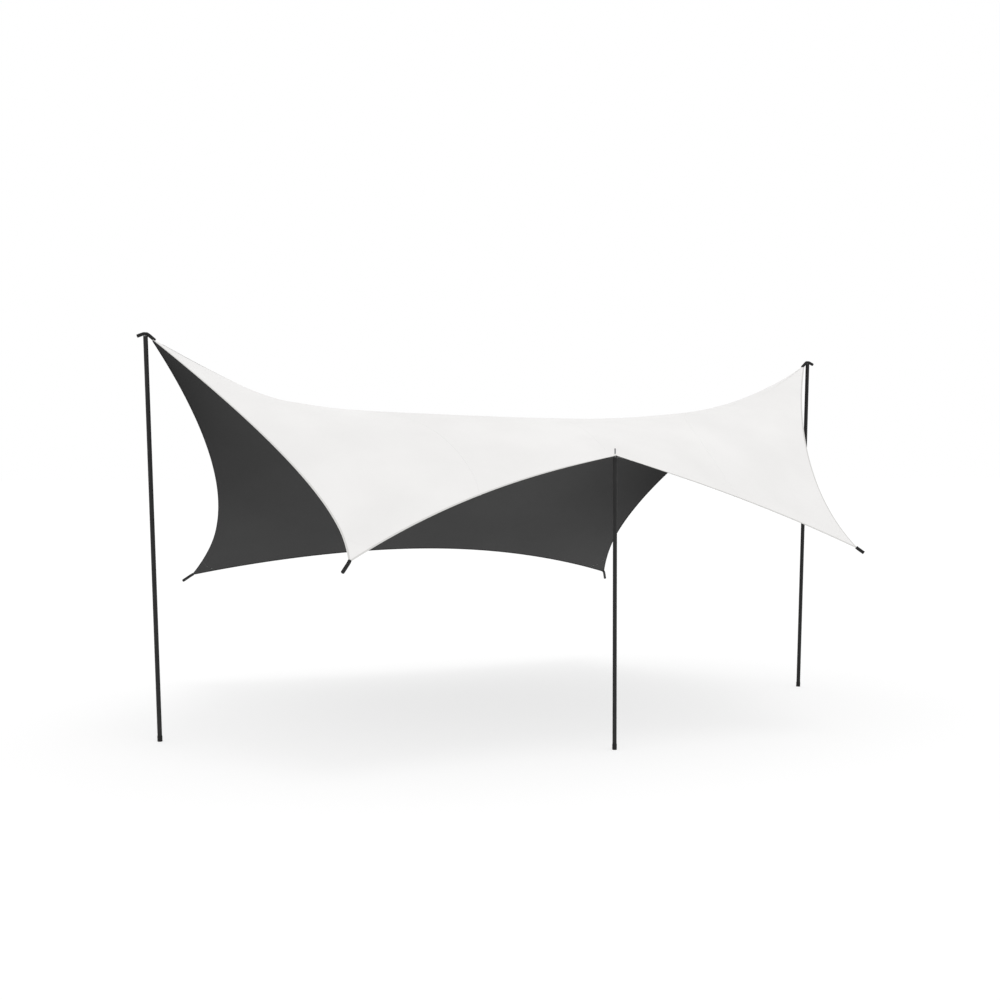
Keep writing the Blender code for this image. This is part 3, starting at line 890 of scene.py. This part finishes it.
def seam_profile():
    """Outline of a flat felled seam, which stands proud of the cloth on its top side only."""
    half = SEAM_WIDTH / 2
    foot = CLOTH_THICKNESS / 2
    return [
        (half, foot),
        (half - SEAM_SLOPE, SEAM_HEIGHT),
        (0.0, SEAM_HEIGHT * 1.1),
        (SEAM_SLOPE - half, SEAM_HEIGHT),
        (-half, foot),
        (-half, -SEAM_SINK),
        (half, -SEAM_SINK),
    ]


def make_seam(cloth, name, run, materials):
    """A felled seam along one line of the net."""
    points = cloth[0][run]
    normals = cloth[1][run]
    hint = np.cross(normals, np.gradient(points, axis=0))
    frames = line_frames(points, normals, hint)
    mesh = swept(seam_profile(), frames)
    return give_piece(f"{name}_seam", mesh, materials, SHARP_FOLDS)


def fan_patch(cloth, corner, reach, fan):
    """Points and normals of a fan on the cloth, from a corner out to a hollow edge.

    fan gives, for each share of the way round, the shares of the reach that go along and
    across the net, each with its sign.
    """
    points, normals = cloth
    i, j = corner
    row = lengths_along(points[:, j])
    column = lengths_along(points[i])
    row_at = np.arange(len(row))
    column_at = np.arange(len(column))
    addresses = cloth_addresses(points)
    places = np.zeros((PATCH_RINGS + 1, PATCH_FAN + 1, 3))
    ups = np.zeros_like(places)
    uvs = np.zeros((PATCH_RINGS + 1, PATCH_FAN + 1, 2))
    for a in range(PATCH_RINGS + 1):
        for b in range(PATCH_FAN + 1):
            share = b / PATCH_FAN
            along, across = fan(share)
            hollow = 1 - PATCH_HOLLOW * abs(math.sin(math.pi * fan_turns(fan) * share))
            out = reach * (0.01 + 0.99 * a / PATCH_RINGS) * hollow
            p = np.interp(row[i] + out * along, row, row_at)
            q = np.interp(column[j] + out * across, column, column_at)
            places[a, b] = read_net(points, p, q)
            ups[a, b] = read_net(normals, p, q)
            uvs[a, b] = read_net(addresses, p, q)
    return places, unit(ups), uvs


def fan_turns(fan):
    """How many corners of the net a fan spans: one at a low corner, two at a peak."""
    start = fan(0.0)
    end = fan(1.0)
    return 2 if start[0] * end[0] < 0 or start[1] * end[1] < 0 else 1


def corner_fan(i_sign, j_sign):
    def fan(share):
        return i_sign * (1 - share), j_sign * share

    return fan


def peak_fan(i_sign):
    def fan(share):
        across = 2 * share - 1
        return i_sign * (1 - abs(across)), across

    return fan


def porch_fan(share):
    along = 2 * share - 1
    return along, 1 - abs(along)


def make_patch(cloth, name, corner, reach, fan, materials, threads, trim):
    """Doubled cloth on both faces of a corner, and the two rows that sew its edge down."""
    points, normals, uvs = fan_patch(cloth, corner, reach, fan)
    mesh, outward = sheet_of(points, normals, uvs)
    thicken(mesh, outward, PATCH_THICKNESS)
    if trim:
        trim_tip(mesh, *trim)
    item = give_piece(f"{name}_doubling", mesh, materials)
    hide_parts(f"{name}_patch")
    sewing = []
    lift = PATCH_THICKNESS / 2
    for side, thread in ((1, threads[0]), (-1, threads[1])):
        rows = bmesh.new()
        for inset in PATCH_STITCH_INSETS:
            share = PATCH_RINGS * (1 - inset / reach)
            a = int(share)
            b = share - a
            line = points[a] * (1 - b) + points[a + 1] * b
            ups = unit(normals[a] * (1 - b) + normals[a + 1] * b)
            lay_stitches(rows, line, ups, side * lift)
        face = "top" if side > 0 else "under"
        sewing.append(give_piece(f"{name}_{face}_stitching", rows, [thread]))
    return [item, *sewing]


# Webbing


def cut_corners(points):
    """Rounds a bent line by cutting its corners off again and again."""
    points = [np.array(p, float) for p in points]
    near = BEND_SHARE
    far = 1 - BEND_SHARE
    for _ in range(BEND_CUTS):
        cut = [points[0]]
        for first, second in zip(points, points[1:]):
            cut += [first * far + second * near, first * near + second * far]
        cut.append(points[-1])
        points = cut
    return np.array(points)


def frame_at(points, reach, distance, hint):
    """Origin, side and up on a line, at a distance along it."""
    ahead = min(distance + MM, reach[-1])
    behind = max(distance - MM, 0.0)
    way = unit(read_line(points, reach, ahead) - read_line(points, reach, behind))
    side = unit(hint - way * (hint @ way))
    return Vector(read_line(points, reach, distance)), Vector(side), Vector(np.cross(way, side))


def make_sleeve(name, path, hint, webbing):
    """A stuffed sleeve of webbing along a bent line, with its square ends tucked in."""
    points = cut_corners(path)
    reach = lengths_along(points)
    hint = np.array(hint, float)
    total = reach[-1]
    first = STRAP_END[-1][0] * MM + STRAP_STEP
    middle = np.arange(first, total - STRAP_LAST_STEP, STRAP_STEP)
    stations = [(depth * MM, scale) for depth, scale in STRAP_END]
    stations += [(distance, 1.0) for distance in middle]
    stations += [(total - depth * MM, scale) for depth, scale in reversed(STRAP_END)]
    frames = [frame_at(points, reach, distance, hint) for distance, scale in stations]
    angles = [2 * math.pi * k / STRAP_SIDES for k in range(STRAP_SIDES)]
    profile = [(STRAP_RADIUS * math.cos(a), STRAP_RADIUS * math.sin(a)) for a in angles]
    mesh = swept(profile, frames, None, [scale for distance, scale in stations])
    return give_piece(f"{name}_sleeve", mesh, [webbing], SHARP_SLEEVE)


def whip_sleeve(name, path, hint, thread):
    """Rings of stitches that close a sleeve round the cloth at its inner end."""
    points = cut_corners(path)
    reach = lengths_along(points)
    mesh = bmesh.new()
    count = int(2 * math.pi * STRAP_RADIUS / STITCH_PITCH)
    for distance in WHIPPING:
        origin, side, up = frame_at(points, reach, distance, np.array(hint, float))
        for k in range(count):
            angle = 2 * math.pi * k / count
            out = np.array(side * math.cos(angle) + up * math.sin(angle))
            way = np.array(up * math.cos(angle) - side * math.sin(angle))
            lay_stitch(mesh, np.array(origin) + out * STRAP_RADIUS, way, out)
    return give_piece(f"{name}_whipping", mesh, [thread])


def make_corner_strap(cloth, name, address, webbing, thread):
    """The sleeve that leaves a low corner towards its stake."""
    tip, away, normal = corner_of(cloth, *address)
    reach, heading, dip = CORNER_STRAPS[name]
    heading = math.radians(heading)
    dip = math.radians(dip)
    flat = Vector((math.cos(heading), math.sin(heading), 0.0)) * math.cos(dip)
    end = tip + (flat - Vector((0.0, 0.0, math.sin(dip)))) * reach
    path = [tip - away * CORNER_TRIM, tip, end]
    hint = normal.cross(away)
    sleeve = make_sleeve(f"{name}_strap", path, hint, webbing)
    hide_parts(f"{name}_strap")
    return [sleeve, whip_sleeve(f"{name}_strap", path, hint, thread)]


def punch(item, place, radius):
    """Cuts an upright round hole through a strap."""
    tool = bmesh.new()
    bmesh.ops.create_cone(
        tool,
        cap_ends=True,
        segments=BUSHING_SIDES,
        radius1=radius,
        radius2=radius,
        depth=PUNCH_LENGTH,
        matrix=Matrix.Translation(place),
    )
    data = bpy.data.meshes.new("punch")
    tool.to_mesh(data)
    tool.free()
    cutter = place_item("punch", data)
    modifier = item.modifiers.new("hole", "BOOLEAN")
    modifier.object = cutter
    bpy.context.view_layer.update()
    graph = bpy.context.evaluated_depsgraph_get()
    made = bpy.data.meshes.new_from_object(item.evaluated_get(graph))
    item.modifiers.clear()
    item.data = made
    bpy.data.objects.remove(cutter)


def make_peak_webbing(cloth, name, sign, webbing, thread, steel, offset):
    """The sleeve that grips a peak of the cloth, crosses the pole top and ends in the tab."""
    tip, away = peak_of(cloth, *peak_addresses()[name])
    pole = Vector((offset[0] + sign * PEAK_POLE_TOP_X, offset[1], PEAK_POLE_HEIGHT))
    out = Vector((sign, 0.0, 0.0))
    side = (0.0, 1.0, 0.0)
    tab_end = pole + out * TAB_REACH - Vector((0.0, 0.0, TAB_DROP))
    path = [tip - away * PEAK_OVERLAP, pole - out * STRAP_BEND, pole, pole + out * TAB_BEND]
    path.append(tab_end)
    sleeve = make_sleeve(f"{name}_peak", path, side, webbing)
    punch(sleeve, pole, BUSHING_RADIUS)
    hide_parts(f"{name}_peak_strap", f"{name}_guy_tab")
    whipping = whip_sleeve(f"{name}_peak", path, side, thread)
    ring = turned(bushing_outline(), BUSHING_SIDES)
    bmesh.ops.translate(ring, vec=pole, verts=ring.verts)
    bushing = give_piece(f"{name}_peak_bushing", ring, [steel])
    return [sleeve, whipping, bushing]


def bushing_outline():
    """Outline of the bushing that lines the hole for a pin, from the strap's middle line."""
    top = STRAP_RADIUS - 0.1 * MM
    low = -STRAP_RADIUS + 1 * MM
    rim = BUSHING_RADIUS
    return [
        (EYELET_HOLE, low),
        (rim, low),
        (rim, top - 0.6 * MM),
        (rim - 0.5 * MM, top),
        (EYELET_HOLE + 0.4 * MM, top),
        (EYELET_HOLE, top - 0.4 * MM),
    ]


def make_porch_eyelet(place, plastic):
    """The pale collar in the front edge that the porch pin passes through."""
    hole = EYELET_HOLE
    rim = EYELET_RIM
    outline = [
        (hole + 0.4 * MM, -EYELET_BELOW),
        (rim - 1.5 * MM, -EYELET_BELOW),
        (rim, -EYELET_BELOW + 1.2 * MM),
        (rim, EYELET_ABOVE - 3.0 * MM),
        (rim - 0.6 * MM, EYELET_ABOVE - 1.2 * MM),
        (rim - 2.0 * MM, EYELET_ABOVE),
        (hole + 0.4 * MM, EYELET_ABOVE),
        (hole, EYELET_ABOVE - 0.5 * MM),
        (hole, -EYELET_BELOW + 0.4 * MM),
    ]
    ring = turned(outline, COLLAR_SIDES)
    bmesh.ops.translate(ring, vec=place, verts=ring.verts)
    item = give_piece("porch_collar", ring, [plastic])
    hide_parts("porch_eyelet")
    return item


# Poles


def lean(mesh, foot, slope):
    """Leans an upright body over its foot, with its ends kept level."""
    for vert in mesh.verts:
        vert.co.x += vert.co.z * slope
    bmesh.ops.translate(mesh, vec=foot, verts=mesh.verts)


def tube_outline(radius, low, high):
    """Outline of a tube: a fine groove at each joint of its sections, and an open top."""
    outer = [(radius - TUBE_CHAMFER, low), (radius, low + TUBE_CHAMFER)]
    joint = high - SECTION_LENGTH
    grooves = []
    while joint > low + SECTION_LENGTH / 2:
        grooves.append(joint)
        joint -= SECTION_LENGTH
    half = GROOVE_HALF_WIDTH
    for z in reversed(grooves):
        outer += [(radius, z - half), (radius - SECTION_GROOVE, z), (radius, z + half)]
    outer += [(radius, high - TUBE_CHAMFER), (radius - TUBE_CHAMFER, high)]
    inner_radius = radius - TUBE_WALL
    mouth = high - TUBE_MOUTH_DEPTH
    return [(0.0, low), *outer, (inner_radius, high), (inner_radius, mouth), (0.0, mouth)]


def foot_outline(radius):
    """Outline of a foot cap: rounded sole, three grip grooves and a soft upper lip."""
    rim = radius + FOOT_RIM
    groove = rim - GRIP_GROOVE_DEPTH
    floor, mouth = GRIP_GROOVE_HALF_WIDTHS
    outline = [(0.0, 0.0), (rim - 2 * MM, 0.0), (rim - 0.6 * MM, 0.6 * MM), (rim, 2 * MM)]
    for z in GRIP_GROOVES:
        outline += [(rim, z - mouth), (groove, z - floor), (groove, z + floor), (rim, z + mouth)]
    outline += [(rim, FOOT_HEIGHT - 1.2 * MM), (rim - 0.4 * MM, FOOT_HEIGHT - 0.3 * MM)]
    outline += [(radius - 0.2 * MM, FOOT_HEIGHT), (0.0, FOOT_HEIGHT)]
    return outline


def plug_outline(radius, z):
    """Outline of the moulded plug that closes a tube and carries its pin."""
    inner = radius - TUBE_WALL - PLUG_PLAY
    return [
        (0.0, z - PLUG_DEPTH),
        (inner, z - PLUG_DEPTH),
        (inner, z),
        (radius - 0.8 * MM, z + 0.1 * MM),
        (radius - 1.4 * MM, z + PLUG_RIM),
        (0.0, z + PLUG_RIM),
    ]


def pin_outline(length, z):
    """Outline of a pin with a rounded tip."""
    top = z + length
    outline = [(0.0, z - PIN_ROOT), (PIN_RADIUS, z - PIN_ROOT)]
    for angle in np.linspace(0.0, math.pi / 2, 5):
        radius = PIN_RADIUS - PIN_ROUNDING * (1 - math.cos(angle))
        outline.append((radius, top - PIN_ROUNDING * (1 - math.sin(angle))))
    return [*outline, (0.0, top)]


def make_pole(name, foot, slope, tube, rubber, steel):
    """A tube on its foot cap, with a plug and a pin at its top."""
    low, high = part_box(f"{name}_pole")
    pin_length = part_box(f"{name}_pin")[1].z - high.z
    radius = (high.y - low.y) / 2
    parts = (
        ("tube", tube_outline(radius, low.z, high.z), tube, f"{name}_pole", "pole_paint"),
        ("foot_cap", foot_outline(radius), rubber, f"{name}_pole_foot", "foot_plastic"),
        ("plug", plug_outline(radius, high.z), rubber, None, "foot_plastic"),
        ("spike", pin_outline(pin_length, high.z), steel, f"{name}_pin", "steel"),
    )
    for part, outline, material, node, slot in parts:
        mesh = turned(outline, TUBE_SIDES)
        lean(mesh, foot, slope)
        item = give_piece(f"{name}_{part}", mesh, [material], SHARP_TURNED)
        if node:
            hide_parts(node)


# Studio


def make_floor():
    """A wide level floor under the feet."""
    mesh = bmesh.new()
    bmesh.ops.create_grid(mesh, x_segments=1, y_segments=1, size=FLOOR_SIZE / 2)
    data = bpy.data.meshes.new("studio_floor")
    mesh.to_mesh(data)
    mesh.free()
    data.materials.append(studio_floor())
    place_item("studio_floor", data)


def make_light(offset):
    """White all round, a soft sun overhead, and a low panel under the back of the cloth."""
    world = bpy.data.worlds.new("studio_sky")
    world.use_nodes = True
    background = world.node_tree.nodes["Background"]
    background.inputs["Color"].default_value = (1.0, 1.0, 1.0, 1.0)
    background.inputs["Strength"].default_value = SKY_STRENGTH
    bpy.context.scene.world = world
    sun = bpy.data.lights.new("overhead", "SUN")
    sun.energy = SUN_STRENGTH
    sun.angle = math.radians(SUN_SOFTNESS)
    lamp = place_item("overhead", sun)
    lamp.rotation_euler = (math.radians(SUN_TILT[0]), math.radians(SUN_TILT[1]), 0.0)
    panel = bpy.data.lights.new("underneath", "AREA")
    panel.shape = "RECTANGLE"
    panel.size, panel.size_y = UNDER_SIZE
    panel.energy = UNDER_POWER
    lamp = place_item("underneath", panel)
    lamp.location = Vector(UNDER_PLACE) + Vector(offset)
    lamp.rotation_euler = (math.pi, 0.0, 0.0)
    lamp.visible_camera = False


def make_camera(offset):
    """The camera at a standing person's eye height, front left of the tarp."""
    data = bpy.data.cameras.new("viewpoint")
    data.lens = CAMERA_LENS
    data.sensor_width = SENSOR_WIDTH
    data.clip_end = VIEW_REACH
    item = place_item("viewpoint", data)
    item.location = Vector(CAMERA_FROM_RIDGE) + Vector(offset)
    item.rotation_euler = (math.pi / 2 + CAMERA_PITCH, 0.0, -CAMERA_YAW)
    bpy.context.scene.camera = item


def make_cloth(offset):
    """Everything that is sewn: the canopy, its hems, seams, doubled corners and webbing."""
    net = fine_net(evened_net(relaxed_net())) + offset
    cloth = (net, net_normals(net))
    face = coated_cloth("coated_polyester_face", "#E2E1E0", "#E7E6E5", 0.65, 0.2)
    backing = coated_cloth("charcoal_coated_backing", "#171717", "#1B1B1B", 0.6, 0.1)
    sewn = [face, backing]
    pale_thread = bonded_thread("bonded_thread_pale", "#DEDDDB")
    dark_thread = bonded_thread("bonded_thread_dark", "#2A2A2A")
    threads = (pale_thread, dark_thread)
    above = HEM_THREAD_ABOVE
    below = HEM_THREAD_BELOW
    # The pale hem is the same cloth as the face, painted darker: painted shade along the rim.
    pale_hem_painted_shade = stitched_hem("folded_hem_face", "#CFCECC", "#C2C1BF", above, 0.7, 0.2)
    hem_back = stitched_hem("folded_hem_backing", "#191919", "#151515", below, 0.6, 0.1)
    webbing = woven_webbing()
    brass = turned_metal("nickel_plated_brass", "#8A8B8C", "#9A9B9C", 0.3)

    canopy = make_canopy(cloth, sewn)
    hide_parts(*[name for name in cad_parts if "_panel_" in name])
    sewn_on = []
    tips = trims_of(cloth)
    for name in sorted(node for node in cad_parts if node.endswith("_hem")):
        sewn_on.append(make_hem(cloth, name, [pale_hem_painted_shade, hem_back], tips))
    middle = NET_ACROSS * FINE // 2
    for name, i in SEAMS_ACROSS.items():
        sewn_on.append(make_seam(cloth, name, np.s_[i * FINE, :], sewn))
    sewn_on.append(make_seam(cloth, "ridge", np.s_[2:-2, middle], sewn))
    for name, address in corner_addresses().items():
        fan = corner_fan(1 if address[0] == 0 else -1, 1 if address[1] == 0 else -1)
        trim = (*corner_of(cloth, *address)[:2], CORNER_TRIM)
        reach = CORNER_PATCH_REACH
        sewn_on += make_patch(cloth, name, address, reach, fan, sewn, threads, trim)
        sewn_on += make_corner_strap(cloth, name, address, webbing, dark_thread)
    for name, sign in (("left", -1), ("right", 1)):
        address = peak_addresses()[name]
        trim = (*peak_of(cloth, *address), PEAK_TRIM)
        reach = PEAK_PATCH_REACH
        fan = peak_fan(-sign)
        sewn_on += make_patch(cloth, f"{name}_peak", address, reach, fan, sewn, threads, trim)
        sewn_on += make_peak_webbing(cloth, name, sign, webbing, dark_thread, brass, offset)
    porch = (NET_ALONG * FINE // 2, 0)
    reach = PORCH_PATCH_REACH
    sewn_on += make_patch(cloth, "porch", porch, reach, porch_fan, sewn, threads, None)
    eyelet = Vector(PORCH_CORNER) + Vector(offset) + Vector((0.0, EYELET_INSET, 0.0))
    sewn_on.append(make_porch_eyelet(eyelet, moulded_pale_plastic()))


def make_poles(offset):
    tube = powder_coated_steel()
    rubber = moulded_rubber()
    steel = turned_metal("turned_steel", "#7E7F81", "#8C8D8F", 0.35)
    for name, sign in (("left", -1), ("right", 1), ("porch", 0)):
        if sign:
            foot_x = offset[0] + sign * (PEAK_POLE_TOP_X - POLE_LEAN)
            foot = Vector((foot_x, offset[1], 0.0))
            slope = sign * POLE_LEAN / PEAK_POLE_HEIGHT
        else:
            low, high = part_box(f"{name}_pole_foot")
            foot = Vector(((low.x + high.x) / 2, (low.y + high.y) / 2, 0.0))
            slope = 0.0
        make_pole(name, foot, slope, tube, rubber, steel)


bpy.context.scene.view_settings.view_transform = "Standard"
ridge = ridge_offset()
make_camera(ridge)
make_light(ridge)
make_floor()
make_cloth(ridge)
make_poles(ridge)
